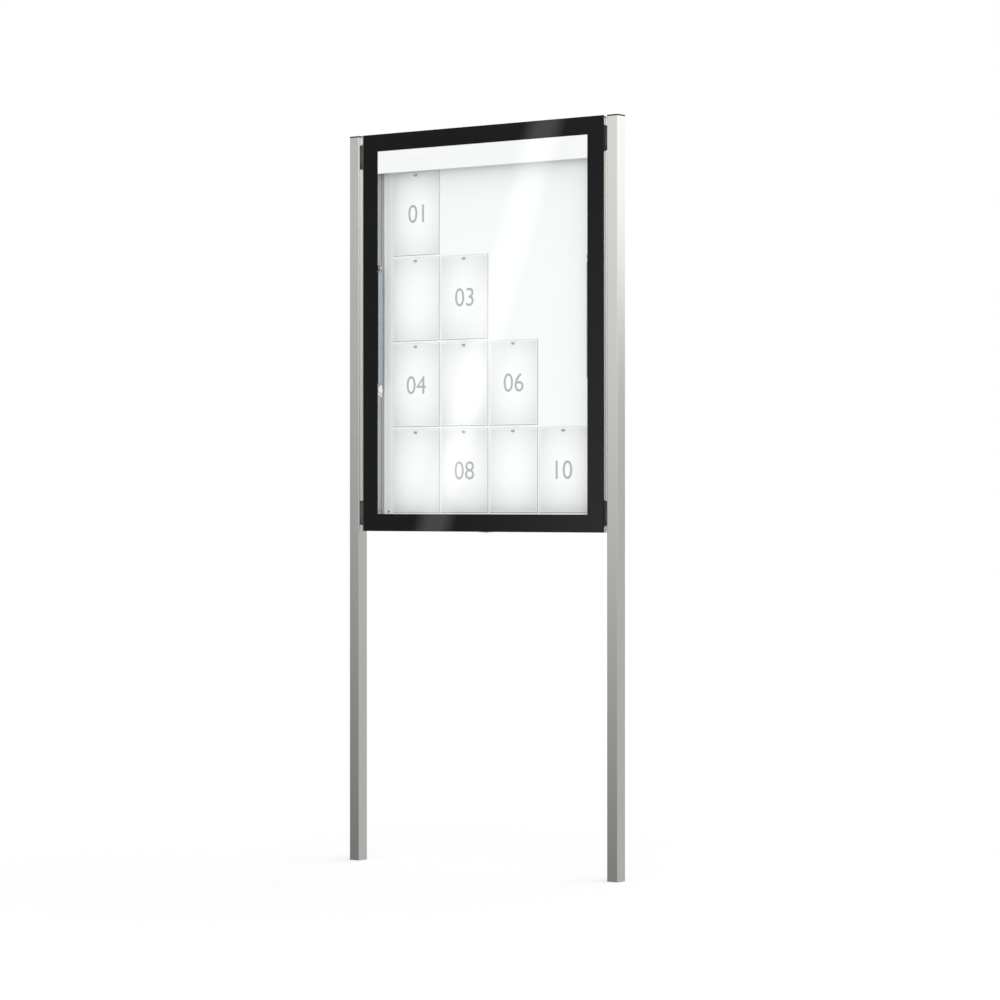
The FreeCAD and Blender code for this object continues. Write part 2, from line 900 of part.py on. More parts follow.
def door_glass():
    """Safety glass over the whole front, with ground edges."""
    body = new_body("door_glass")
    face = new_sketch(body, "XZ_Plane")
    centred(face, case_width, case_height)
    plate = pad(body, face, "glass_thickness")
    doc.recompute()
    edges = []
    for number, edge in enumerate(plate.Shape.Edges, start=1):
        if edge.BoundBox.YLength < 0.001:
            edges.append("Edge%d" % number)
    bevel = body.newObject("PartDesign::Chamfer", "door_glass_bevel")
    bevel.Base = (plate, edges)
    bind(bevel, "Size", "glass_edge")
    return body


place(part(door_glass(), "door_glass"), 0, front + "glass_thickness", case_middle)

border = frame_ring("printed_border", "glass_edge", "glass_edge", "print_side", "print_end", "print_thickness")
place(part(border, "printed_border"), 0, front + tape_front, case_middle)

tape_inner = size("tape_inset") + "tape_width"
tape = frame_ring("glazing_tape", "tape_inset", "tape_inset", tape_inner, tape_inner, "tape_thickness")
place(part(tape, "glazing_tape"), 0, front + rail_front, case_middle)


def header_panel():
    """The white strip for a heading, fixed behind the glass under the top of the border."""
    body = new_body("header_panel")
    face = new_sketch(body, "XZ_Plane")
    reach = half_width - "rail_width" - "panel_play"
    rectangle(face, -reach, -size("header_drop"), reach, -(size("rail_width") + "panel_play"))
    pad(body, face, "header_thickness")
    return body


place(part(header_panel(), "header_panel"), 0, front + tape_front + "header_thickness", case_top)


def rail_chamber(sketch):
    wall = size("rail_wall")
    rectangle(sketch, rail_front + wall, -(size("rail_width") - wall), door_back - wall, -wall)


def rail_section(sketch):
    rectangle(sketch, rail_front, -size("rail_width"), door_back, 0)
    rail_chamber(sketch)


def bead_section(sketch):
    """The top rail: a neck and a round bead behind it ride in the groove of the case."""
    axis = (hinge_back, -lip_radius)
    half_neck = size("neck_thickness") / 2
    bead = size("bead_radius")
    reach = root(bead * bead - half_neck * half_neck)
    outline(sketch, [
        (rail_front, -size("rail_width"), None),
        (door_back, -size("rail_width"), None),
        (door_back, axis[1] - half_neck, None),
        (axis[0] - reach, axis[1] - half_neck, round_edge(axis, bead, "left")),
        (axis[0] - reach, axis[1] + half_neck, None),
        (door_back, axis[1] + half_neck, None),
        (door_back, 0, None),
        (rail_front, 0, None),
    ])
    rail_chamber(sketch)


def door_top_rail():
    body = profile("door_top_rail", bead_section, case_width, "rail_width")
    ends = new_sketch(body, "XY_Plane")
    for side in (-1, 1):
        inner = (half_width - "bead_inset") * side
        outer = (half_width + "overrun") * side
        left, right = (outer, inner) if side < 0 else (inner, outer)
        rectangle(ends, left, door_back, right, hinge_back + lip_radius)
    pocket(body, ends)
    return body


place(part(door_top_rail(), "door_top_rail"), 0, front, case_top)
bottom_rail = part(profile("door_bottom_rail", rail_section, case_width, "rail_width"), "door_bottom_rail")
place(bottom_rail, 0, front, case_bottom, TURN_OVER)
rivet_back = size("ear_front") + (door_back - "ear_front") / 2


def door_side_rail():
    """A side rail with the holes for the rivets of the strut's pin."""
    body = profile("door_left_rail", rail_section, case_height, "rail_width")
    holes = new_sketch(body, "XY_Plane", -size("rail_width"))
    for side in (-1, 1):
        ring(holes, eye_height - case_middle + size("rivet_side") * side, rivet_back,
             size("rivet_shank") + size("screw_fit") * 2)
    pocket(body, holes, through_rail)
    return body


left_rail = place(part(door_side_rail(), "door_left_rail"), -half_width, front, case_middle, TURN_LEFT)
part(mirror(left_rail, "door_right_rail", ACROSS), "door_right_rail")

door_cleat, door_cleat_face = corner_cleat("door_cleat", size("rail_wall") + "fit", "cleat_band", "cleat_leg")
pad(door_cleat, door_cleat_face, size("rail_depth") - size("rail_wall") * 2 - size("fit") * 2)
place(door_cleat, -half_width, front + door_back - "rail_wall" - "fit", case_bottom)
part(four_corners(door_cleat, "door_corner_cleats"), "door_corner_cleats")


# Gas struts: the eye hangs on the door's pin, the rod's socket sits at the case's stud.
strut_back = size("strut_back")
strut_inset = size("strut_inset")
tube_radius = size("tube_diameter") / 2
ear_outer = strut_inset - tube_radius - "fit"
ear_inner = frame_width + "fit"


def strut_bracket():
    """A trapezoid plate on the inner wall of the case, with the stud for the rod's socket."""
    body = new_body("left_strut_bracket")
    face = new_sketch(body, "YZ_Plane", frame_width)
    nose = size("bracket_nose") / 2
    foot = size("bracket_foot") / 2
    outline(face, [
        ("bracket_front", -nose, None),
        ("bracket_back", -foot, None),
        ("bracket_back", foot, None),
        ("bracket_front", nose, None),
    ])
    for side in (-1, 1):
        ring(face, "bracket_screw_back", size("bracket_screw_side") * side,
             size("small_screw") + size("screw_fit") * 2)
    pad(body, face, "bracket_thickness")
    stud_root = frame_width + size("bracket_thickness") / 2
    stud = new_sketch(body, "YZ_Plane", stud_root)
    ring(stud, strut_back, 0, "stud_diameter")
    pad(body, stud, strut_inset - size("socket_thickness") / 2 - "fit" - stud_root)
    return body


def strut_tube():
    """The cylinder with its eye: hollow, with a closed top and a gland at its mouth."""
    body = new_body("left_strut_tube")
    half = new_sketch(body, "XZ_Plane")
    outer = tube_radius
    bore = tube_radius - "tube_wall"
    guide = size("rod_diameter") / 2 + "turn_fit"
    neck = size("neck_diameter") / 2
    neck_top = -(size("pin_head") / 2 + "fit")
    top = -size("tube_start")
    bottom = top - "tube_length"
    outline(half, [
        (0, neck_top, None),
        (0, top - "tube_end", None),
        (bore, top - "tube_end", None),
        (bore, bottom + "gland_length", None),
        (guide, bottom + "gland_length", None),
        (guide, bottom, None),
        (outer - "tube_wall", bottom, None),
        (outer, bottom + "tube_wall", None),
        (outer, top - "tube_wall", None),
        (outer - "tube_wall", top, None),
        (neck, top, None),
        (neck, neck_top, None),
    ])
    turned(body, half)
    eye = new_sketch(body, "YZ_Plane")
    ring(eye, 0, 0, "eye_diameter")
    pad(body, eye, "eye_thickness", middle=True)
    hole = new_sketch(body, "YZ_Plane")
    ring(hole, 0, 0, size("pin_diameter") + size("pin_play") * 2)
    pocket(body, hole)
    return body


def strut_rod():
    """The polished rod with its piston inside the tube and its socket below."""
    body = new_body("left_strut_rod")
    half = new_sketch(body, "XZ_Plane")
    rod = size("rod_diameter") / 2
    piston = tube_radius - "tube_wall" - "pin_play"
    collar = size("neck_diameter") / 2
    top = -size("piston_start")
    low = -strut_closed
    shoulder = low + collar_reach
    outline(half, [
        (0, low, None),
        (collar, low, None),
        (collar, shoulder, None),
        (rod, shoulder, None),
        (rod, top - "piston_length", None),
        (piston, top - "piston_length", None),
        (piston, top, None),
        (0, top, None),
    ])
    turned(body, half)
    socket = new_sketch(body, "YZ_Plane")
    ring(socket, 0, low, "socket_diameter")
    pad(body, socket, "socket_thickness", middle=True)
    return body


def strut_pin():
    """A base riveted to the edge of the door's side rail, an ear behind it and the strut's pin."""
    body = new_body("left_strut_pin")
    base = new_sketch(body, "YZ_Plane", "rail_width")
    tall = size("ear_base_height") / 2
    rectangle(base, "ear_front", -tall, door_back, tall)
    for side in (-1, 1):
        ring(base, rivet_back, size("rivet_side") * side, size("rivet_shank") + size("screw_fit") * 2)
    pad(body, base, ear_outer - "rail_width")
    ear = new_sketch(body, "YZ_Plane", ear_inner)
    rise = size("ear_height") / 2
    rectangle(ear, "ear_front", -rise, size("ear_front") + "ear_depth", rise)
    pad(body, ear, ear_outer - ear_inner)
    pin_face = new_sketch(body, "YZ_Plane", ear_inner)
    ring(pin_face, strut_back, 0, "pin_diameter")
    head = strut_inset + size("eye_thickness") / 2 + "fit"
    pad(body, pin_face, head - ear_inner)
    head_face = new_sketch(body, "YZ_Plane", head)
    ring(head_face, strut_back, 0, "pin_head")
    pad(body, head_face, "pin_head_thickness")
    return body


left_bracket = place(part(strut_bracket(), "left_strut_bracket"), -half_width, front, socket_height)
part(mirror(left_bracket, "right_strut_bracket", ACROSS), "right_strut_bracket")
left_pin = place(part(strut_pin(), "left_strut_pin"), -half_width, front, eye_height)
part(mirror(left_pin, "right_strut_pin", ACROSS), "right_strut_pin")

bracket_screws = []
pin_rivets = []
TURN_OUT = Rotation(Vector(0, 0, 1), 90)
for side in (-1, 1):
    screw = dome_screw("bracket_screw", "small_screw", "small_head", "small_dome",
                       size("bracket_thickness") + frame_wall * 2)
    place(screw, -half_width + frame_width + "bracket_thickness", front + "bracket_screw_back",
          socket_height + size("bracket_screw_side") * side, TURN_OUT)
    bracket_screws.append(both_sides(screw, "bracket_screw_pair"))
    rivet = dome_screw("pin_rivet", "rivet_shank", "rivet_head", "rivet_dome",
                       ear_outer - "rail_width" + size("rail_wall") * 2)
    place(rivet, -half_width + ear_outer, front + rivet_back, eye_height + size("rivet_side") * side, TURN_OUT)
    pin_rivets.append(both_sides(rivet, "pin_rivet_pair"))
part(compound("bracket_screws", bracket_screws), "bracket_screws")
part(compound("pin_rivets", pin_rivets), "pin_rivets")
strut_x = -(half_width - strut_inset)
left_tube = place(part(strut_tube(), "left_strut_tube"), strut_x, front + strut_back, eye_height)
part(mirror(left_tube, "right_strut_tube", ACROSS), "right_strut_tube")
left_rod = place(part(strut_rod(), "left_strut_rod"), strut_x, front + strut_back, eye_height)
part(mirror(left_rod, "right_strut_rod", ACROSS), "right_strut_rod")


def lock_housing():
    """The fixed barrel of the lock with its screw flange under the case."""
    body = new_body("lock_housing")
    flange = new_sketch(body, "XY_Plane")
    rounded(flange, "lock_flange_width", "lock_flange_depth", "lock_flange_corner")
    for side in (-1, 1):
        ring(flange, size("lock_screw_side") * side, -(size("lock_screw_back") * side),
             size("small_screw") + size("screw_fit") * 2)
    pad(body, flange, "lock_flange_thickness", backward=True)
    barrel = new_sketch(body, "XY_Plane")
    ring(barrel, 0, 0, "lock_barrel")
    pad(body, barrel, "lock_height")
    bore = new_sketch(body, "XY_Plane")
    ring(bore, 0, 0, size("lock_plug_diameter") + size("turn_fit") * 2)
    pocket(body, bore)
    return body


def lock_plug():
    """The turning plug with its key slot, and a square end for the cam."""
    body = new_body("lock_plug")
    round_part = new_sketch(body, "XY_Plane", -size("lock_flange_thickness"))
    ring(round_part, 0, 0, "lock_plug_diameter")
    pad(body, round_part, size("cam_rise") + "lock_flange_thickness")
    square = new_sketch(body, "XY_Plane", "cam_rise")
    centred(square, "lock_square", "lock_square")
    pad(body, square, size("cam_thickness") - "turn_fit")
    slot = new_sketch(body, "XY_Plane", -size("lock_flange_thickness"))
    centred(slot, "key_slot_width", "key_slot_length")
    pocket(body, slot, "key_slot_depth", middle=False, backward=True)
    thread = new_sketch(body, "XY_Plane", size("cam_rise") + "cam_thickness")
    ring(thread, 0, 0, size("small_screw") + size("screw_fit") * 2)
    pocket(body, thread, "thread_depth", middle=False)
    return body


def lock_cam():
    """The flat tongue on the plug's square end, with a round tip."""
    body = new_body("lock_cam")
    face = new_sketch(body, "XY_Plane", "cam_rise")
    half = size("cam_width") / 2
    straight = -(size("cam_length") - half)
    outline(face, [
        (-half, 0, None),
        (-half, straight, round_edge((0, straight), half, "left")),
        (half, straight, None),
        (half, 0, round_edge((0, 0), half, "left")),
    ])
    pad(body, face, "cam_thickness")
    hole = new_sketch(body, "XY_Plane", "cam_rise")
    side = size("lock_square") + size("turn_fit") * 2
    centred(hole, side, side)
    pocket(body, hole)
    return body


def cam_screw():
    body = new_body("cam_screw")
    half = new_sketch(body, "XZ_Plane")
    shank = size("small_screw") / 2
    head = size("cam_width") / 2 - "fit"
    level = size("cam_rise") + "cam_thickness"
    outline(half, [
        (0, level - "cam_screw_length", None),
        (shank, level - "cam_screw_length", None),
        (shank, level, None),
        (head, level, None),
        (head, level + "cam_screw_head", None),
        (0, level + "cam_screw_head", None),
    ])
    turned(body, half)
    return body


def lock_keeper():
    """A bent plate on the door's bottom rail whose leg hangs behind the cam."""
    body = new_body("lock_keeper")
    section = new_sketch(body, "YZ_Plane", "keeper_side")
    plate = size("keeper_thickness")
    plate_back = door_back + plate
    leg_front = size("lock_back") + size("cam_width") / 2 + "cam_gap"
    leg_back = leg_front + "keeper_leg"
    outline(section, [
        (door_back, "keeper_foot", None),
        (plate_back, "keeper_foot", None),
        (plate_back, keeper_tongue, None),
        (leg_front, keeper_tongue, None),
        (leg_front, keeper_leg_low, None),
        (leg_back, keeper_leg_low, None),
        (leg_back, keeper_tongue + plate, None),
        (plate_back, keeper_tongue + plate, None),
        (plate_back, "keeper_top", None),
        (door_back, "keeper_top", None),
    ])
    pad(body, section, "keeper_width")
    return body


place(part(lock_housing(), "lock_housing"), 0, front + "lock_back", case_bottom)
place(part(lock_plug(), "lock_plug"), 0, front + "lock_back", case_bottom)
place(part(lock_cam(), "lock_cam"), 0, front + "lock_back", case_bottom)
place(part(cam_screw(), "cam_screw"), 0, front + "lock_back", case_bottom)
place(part(lock_keeper(), "lock_keeper"), 0, front, case_bottom)

lock_screws = []
for side in (-1, 1):
    screw = dome_screw("lock_screw", "small_screw", "lock_screw_head", "lock_screw_dome",
                       frame_wall * 2 + "lock_flange_thickness")
    place(screw, size("lock_screw_side") * side, front + "lock_back" - size("lock_screw_back") * side,
          case_bottom - "lock_flange_thickness", Rotation(Vector(1, 0, 0), 90))
    lock_screws.append(screw)
part(compound("lock_screws", lock_screws), "lock_screws")


# Every feature must have come out sound before anything is written.
doc.recompute()
for thing in doc.Objects:
    if "Invalid" in thing.State or "Error" in thing.State:
        raise ValueError("%s failed: %s" % (thing.Name, thing.State))
os.makedirs("parts", exist_ok=True)
for node in NODES:
    if node.Shape.isNull() or not node.Shape.isValid():
        raise ValueError("%s has no sound shape" % node.Label)
for node in NODES:
    node.Shape.exportStep("parts/%s.step" % node.Label)
    print("%-22s solids %2d volume %12.1f" % (node.Label, len(node.Shape.Solids), node.Shape.Volume))
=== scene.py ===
import math

import bmesh
import bpy
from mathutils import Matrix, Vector


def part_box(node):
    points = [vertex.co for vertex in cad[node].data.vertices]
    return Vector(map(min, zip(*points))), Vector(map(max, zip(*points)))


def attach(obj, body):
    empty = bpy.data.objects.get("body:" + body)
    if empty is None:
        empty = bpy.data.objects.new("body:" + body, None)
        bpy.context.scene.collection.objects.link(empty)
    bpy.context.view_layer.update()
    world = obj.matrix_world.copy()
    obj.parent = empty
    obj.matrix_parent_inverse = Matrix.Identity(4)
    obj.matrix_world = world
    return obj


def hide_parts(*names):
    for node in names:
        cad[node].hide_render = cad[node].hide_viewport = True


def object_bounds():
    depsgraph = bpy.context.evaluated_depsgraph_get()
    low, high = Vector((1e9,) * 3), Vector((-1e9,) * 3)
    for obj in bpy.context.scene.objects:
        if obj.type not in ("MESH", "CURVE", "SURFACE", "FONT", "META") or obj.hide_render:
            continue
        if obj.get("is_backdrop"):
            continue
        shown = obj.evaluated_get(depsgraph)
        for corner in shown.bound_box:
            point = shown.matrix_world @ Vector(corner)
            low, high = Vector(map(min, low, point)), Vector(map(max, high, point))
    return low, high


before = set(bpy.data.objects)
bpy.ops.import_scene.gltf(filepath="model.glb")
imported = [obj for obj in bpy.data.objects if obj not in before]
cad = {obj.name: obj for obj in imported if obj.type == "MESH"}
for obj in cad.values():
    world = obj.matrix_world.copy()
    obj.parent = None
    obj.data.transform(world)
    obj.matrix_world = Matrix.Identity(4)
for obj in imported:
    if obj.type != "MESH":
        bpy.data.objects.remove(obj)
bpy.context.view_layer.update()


# The posts: two square tubes of extruded aluminium, cut to length and anodised clear. They
# stand on the ground and carry the case between them.
MM = 0.001


def linear(srgb):
    """An sRGB hex colour as linear numbers with an alpha of 1."""
    def channel(text):
        value = int(text, 16) / 255
        return value / 12.92 if value <= 0.04045 else ((value + 0.055) / 1.055) ** 2.4
    return (*(channel(srgb[i:i + 2]) for i in (1, 3, 5)), 1.0)


def feed(node, inputs):
    """Gives sockets of a node a value each, or the output of another node."""
    for socket, value in inputs.items():
        if isinstance(value, bpy.types.Node):
            value = value.outputs[0]
        if isinstance(value, bpy.types.NodeSocket):
            node.id_data.links.new(value, node.inputs[socket])
        else:
            node.inputs[socket].default_value = value


def add(tree, kind, inputs=(), **settings):
    """Adds a node with its settings and links; its inputs are named or in their order."""
    node = tree.nodes.new("ShaderNode" + kind)
    for name, value in settings.items():
        setattr(node, name, value)
    feed(node, inputs if isinstance(inputs, dict) else dict(enumerate(inputs)))
    return node


def finish(name, colour, metallic=0.0, roughness=0.5, **more):
    """A material of one Principled shader; gives back the material and that shader."""
    material = bpy.data.materials.new(name)
    material.use_nodes = True
    shader = material.node_tree.nodes["Principled BSDF"]
    feed(shader, {"Base Color": linear(colour), "Metallic": metallic, "Roughness": roughness})
    feed(shader, {socket.replace("_", " "): value for socket, value in more.items()})
    return material, shader


RELIEF = 0.05 * MM


def raise_by(shader, pattern, strength):
    """Lets a pattern raise a surface by a share of the relief."""
    bump = add(shader.id_data, "Bump",
               {"Height": pattern, "Strength": strength, "Distance": RELIEF})
    feed(shader, {"Normal": bump})


def dull_by(shader, pattern, roughness, low=0.85, high=1.15):
    """Lets the gloss follow a pattern a little to both sides, as no real skin is even."""
    ends = roughness * low, min(roughness * high, 1.0)
    feed(shader, {"Roughness": add(shader.id_data, "MapRange", (pattern, 0, 1, *ends))})


def near(tree, value, middle, full, gone):
    """A mask that is full near a middle and fades out around it."""
    off = add(tree, "Math", (value, middle), operation="SUBTRACT")
    away = add(tree, "Math", (off,), operation="ABSOLUTE")
    return add(tree, "MapRange", (away, gone, full), interpolation_type="SMOOTHSTEP")


def wear(thing, material):
    """Puts one material on a piece."""
    thing.data.materials.clear()
    thing.data.materials.append(material)


OCTAVES = 2.0
DIE_LINE = 1.2 * MM
DIE_RUN = 160 * MM
DIE_STRENGTH = 0.05
CLEAR_ANODISED = "#E4E5E1"
BRIGHT_ANODISED = "#F8F9F6"
SHADE_PAINTED_ANODISED = "#C2C5C2"
POST_ROUGHNESS = 0.14


def anodised(name, along, inside=None, colour=CLEAR_ANODISED, roughness=POST_ROUGHNESS):
    """Clear-anodised extruded aluminium: a satin grey whose mirror image die lines blur.

    The lines run along the profile, a few times as wide as real ones, so that they show.
    What lies inside a reach from a middle along an axis gets a darker tone, a painted shade for
    the inside of the case."""
    material, shader = finish(name, colour, metallic=1.0, roughness=roughness)
    tree = material.node_tree
    place = add(tree, "TexCoord").outputs["Object"]
    scale = [1 / DIE_LINE] * 3
    scale["XYZ".index(along)] = 1 / DIE_RUN
    stretch = add(tree, "Mapping", {"Vector": place, "Scale": scale})
    lines = add(tree, "TexNoise", {"Vector": stretch, "Scale": 1.0, "Detail": OCTAVES})
    raise_by(shader, lines, DIE_STRENGTH)
    dull_by(shader, lines, roughness)
    # Painted shade: a darker tone within the reach stands for the shade inside the case.
    if inside:
        axis, middle, reach = inside
        side = add(tree, "SeparateXYZ", (place,)).outputs[axis]
        mask = near(tree, side, middle, reach, reach + 1 * MM)
        tone = add(tree, "Mix", {0: mask, 6: linear(colour), 7: linear(SHADE_PAINTED_ANODISED)},
                   data_type="RGBA")
        feed(shader, {"Base Color": tone.outputs[2]})
    return material


post_skin = anodised("anodised_aluminium_post", "Z")
for name in ("left_post", "right_post"):
    wear(cad[name], post_skin)


# The post caps: plugs moulded of black glass-filled nylon, pushed into the open tops of the
# posts. Their spark-eroded mould leaves a fine matt grain.
def grained(name, colour, roughness, grain, strength=0.15, **more):
    """A moulded, painted or printed skin: a fine grain and a faintly uneven gloss.

    A grain under half a millimetre is drawn coarser than it is, so that it shows."""
    material, shader = finish(name, colour, roughness=roughness, **more)
    tree = material.node_tree
    place = add(tree, "TexCoord").outputs["Object"]
    bumps = add(tree, "TexNoise", {"Vector": place, "Scale": 1 / grain, "Detail": OCTAVES})
    raise_by(shader, bumps, strength)
    dull_by(shader, bumps, roughness)
    return material


black_nylon = grained("moulded_black_nylon", "#1B1B1C", 0.55, 0.6 * MM)
for name in ("left_post_cap", "right_post_cap"):
    wear(cad[name], black_nylon)


# The spacers between the case and the posts: oval pads of moulded grey-black rubber, nearly
# as wide as the post and bevelled towards the case, which bolts clamp in place.
def piece(name, shape, material, body, slot, *replaced):
    """A new object from a mesh in the making, which rides on a body and may stand for nodes."""
    bmesh.ops.recalc_face_normals(shape, faces=shape.faces)
    mesh = bpy.data.meshes.new(name)
    shape.to_mesh(mesh)
    shape.free()
    made = bpy.data.objects.new(name, mesh)
    bpy.context.scene.collection.objects.link(made)
    wear(made, material)
    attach(made, body)
    if replaced:
        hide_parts(*replaced)
    return made


def join(shape, first, second):
    """The quads between two rings of as many points."""
    for i in range(len(first)):
        j = (i + 1) % len(first)
        shape.faces.new((first[i], first[j], second[j], second[i]))


# Half width and half height of the pad: at the post, above its rim, on the case, and its bore.
PAD = (19 * MM, 46 * MM)
PAD_EDGE = (13 * MM, 42 * MM)
PAD_FOOT = (11 * MM, 36 * MM)
PAD_BORE = (4.2 * MM, 4.2 * MM)
PAD_RIM = 1.5 * MM
PAD_DROP = 5 * MM
PAD_STEPS = 64
SPACER_HALF = 40 * MM
case_side = -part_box("case_left_profile")[0].x
low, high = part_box("post_spacers")
bolt_line = (low.y + high.y) / 2
post_low, post_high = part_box("left_post")
pad_middle = (post_low.y + post_high.y) / 2
pad_rings = ((case_side, PAD_BORE, bolt_line, 0.0),
             (case_side, PAD_FOOT, bolt_line, PAD_DROP),
             (case_side + PAD_RIM, PAD_EDGE, pad_middle, PAD_DROP),
             (high.x, PAD, pad_middle, PAD_DROP),
             (high.x, PAD_BORE, bolt_line, 0.0))
pad_turns = [2 * math.pi * i / PAD_STEPS for i in range(PAD_STEPS)]
shape = bmesh.new()
for side in (-1, 1):
    for height in (low.z + SPACER_HALF, high.z - SPACER_HALF):
        rings = [[shape.verts.new((side * x, y + wide * math.sin(turn),
                                   height - drop + tall * math.cos(turn)))
                  for turn in pad_turns]
                 for x, (wide, tall), y, drop in pad_rings]
        for first, second in zip(rings, rings[1:] + rings[:1]):
            join(shape, first, second)
# Rubber looks dull and nearly black, with no gleam on its edges.
pad_rubber = grained("moulded_grey_black_rubber", "#444441", 0.7, 0.8 * MM)
piece("oval_spacers", shape, pad_rubber, "case", "black_plastic", "post_spacers")


# The fixings: bolts, rivet nuts and screws of turned or cold-headed steel, zinc plated in a
# barrel. They clamp the case to the posts, and the brackets and the lock to the case.
PLATE_CLOUD = 6 * MM


def plated(name, colour, roughness):
    """Plated, cast or polished metal: its mirror image is clouded by a faint uneven tone."""
    material, shader = finish(name, colour, metallic=1.0, roughness=roughness)
    tree = material.node_tree
    place = add(tree, "TexCoord").outputs["Object"]
    cloud = add(tree, "TexNoise", {"Vector": place, "Scale": 1 / PLATE_CLOUD, "Detail": OCTAVES})
    dull_by(shader, cloud, roughness, 0.8, 1.25)
    return material


zinc_plate = plated("zinc_plated_steel", "#C9CACB", 0.28)
for name in ("post_bolts", "post_rivet_nuts", "bracket_screws", "lock_screws", "cam_screw",
             "lock_cam"):
    wear(cad[name], zinc_plate)


# The case: four mitred aluminium profiles, anodised as the posts are, held at the corners by
# cast cleats that are pushed into their hollows. Grey plugs close the holes to the bolts.
PROFILE_WIDTH = 57 * MM
CASE_ROUGHNESS = 0.25
case_low, case_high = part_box("case_left_profile")
case_middle = (case_low.z + case_high.z) / 2
# The inner faces of the profiles carry a painted shade, a darker tone of the same anodising.
case_inside_up = ("Z", case_middle, case_high.z - case_middle - PROFILE_WIDTH)
case_inside_across = ("X", 0.0, case_side - PROFILE_WIDTH)
level_case = anodised("anodised_aluminium_case_level", "X", case_inside_up, BRIGHT_ANODISED,
                      CASE_ROUGHNESS)
upright_case = anodised("anodised_aluminium_case_upright", "Z", case_inside_across,
                        BRIGHT_ANODISED, CASE_ROUGHNESS)
for name in ("case_top_profile", "case_bottom_profile"):
    wear(cad[name], level_case)
for name in ("case_left_profile", "case_right_profile"):
    wear(cad[name], upright_case)
# Cast aluminium is duller than a profile; polyethylene is waxy.
cast_aluminium = plated("cast_aluminium", "#B9BAB8", 0.5)
for name in ("case_corner_cleats", "door_corner_cleats", "pin_rivets"):
    wear(cad[name], cast_aluminium)
wear(cad["access_plugs"], grained("moulded_grey_polyethylene", "#AEB0AE", 0.5, 0.8 * MM))


# The back: a steel sheet with white stove enamel, smooth with a faint ripple, in a frame of
# extruded white PVC, which is as smooth. Four screws, blackened and half glossy, hold it.
wear(cad["rear_panel"],
     grained("white_stove_enamel", "#F6F8F7", 0.35, 9 * MM, strength=0.03))
wear(cad["rear_panel_trim"],
     grained("extruded_white_pvc", "#FDFDFC", 0.4, 3 * MM, strength=0.05))
wear(cad["rear_panel_screws"], plated("blackened_steel", "#2E2E30", 0.35))


# The notices: A4 sheets of matt white paper, each printed with a pale grey vignette inside a
# thin unprinted margin. Painted shade greys their rim, and painted shadow their right and lower
# edge.
SHEET_MIDDLE = "#FDFDFD"
SHEET_CORNER = "#DBDBDB"
SHEET_MARGIN = "#F3F3F3"
SHEET_RIM_SHADE = "#DEDFDF"
SHEET_EDGE_SHADOW = "#A9ABAA"
MARGIN = 6 * MM
EDGE_SHADE_WIDTH = 2.5 * MM
SOFT_EDGE = 0.3 * MM
FIBRE = 1.5 * MM
FIBRE_STRENGTH = 0.05
IN_CORNER = 2.0                    # squared distance from the middle, in half sides


def printed_sheet(name, low, high):
    """Paper with a round pale vignette, fitted to one sheet's place on the panel.

    Its fibres give it a soft tooth; they are drawn longer than they are, so that they show."""
    material, shader = finish("printed_paper_" + name, SHEET_MIDDLE, roughness=0.6)
    tree = material.node_tree
    middle, half = (low + high) / 2, (high - low) / 2
    place = add(tree, "TexCoord").outputs["Object"]
    fitted = add(tree, "Mapping",
                 {"Vector": place, "Location": (-middle.x / half.x, 0, -middle.z / half.z),
                  "Scale": (1 / half.x, 0, 1 / half.z)})
    square = add(tree, "VectorMath", (fitted, fitted), operation="DOT_PRODUCT")
    outward = add(tree, "MapRange", (square.outputs["Value"], 0, IN_CORNER))
    x, _, z = add(tree, "SeparateXYZ", (fitted,)).outputs
    all_round = [add(tree, "Math", (side,), operation="ABSOLUTE") for side in (x, z)]
    shadowed_sides = (x, add(tree, "Math", (z, -1.0), operation="MULTIPLY"))
    layers = [(outward, SHEET_CORNER)]
    # Painted shade: a grey rim all round, and a darker painted shadow along the right and lower
    # edge.
    for width, edges, shade in ((MARGIN, all_round, SHEET_MARGIN), (EDGE_SHADE_WIDTH, all_round, SHEET_RIM_SHADE),
                                (EDGE_SHADE_WIDTH, shadowed_sides, SHEET_EDGE_SHADOW)):
        strips = [add(tree, "MapRange", (edge, 1 - (width + SOFT_EDGE) / size, 1 - width / size))
                  for edge, size in zip(edges, (half.x, half.z))]
        layers.append((add(tree, "Math", strips, operation="MAXIMUM"), shade))
    colour = linear(SHEET_MIDDLE)
    for mask, shade in layers:
        colour = add(tree, "Mix", {0: mask, 6: colour, 7: linear(shade)},
                     data_type="RGBA").outputs[2]
    feed(shader, {"Base Color": colour})
    fibres = add(tree, "TexNoise", {"Vector": place, "Scale": 1 / FIBRE, "Detail": OCTAVES})
    raise_by(shader, fibres, FIBRE_STRENGTH)
    return material


for name in sorted(cad):
    if name.startswith("notice_row"):
        wear(cad[name], printed_sheet(name, *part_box(name)))


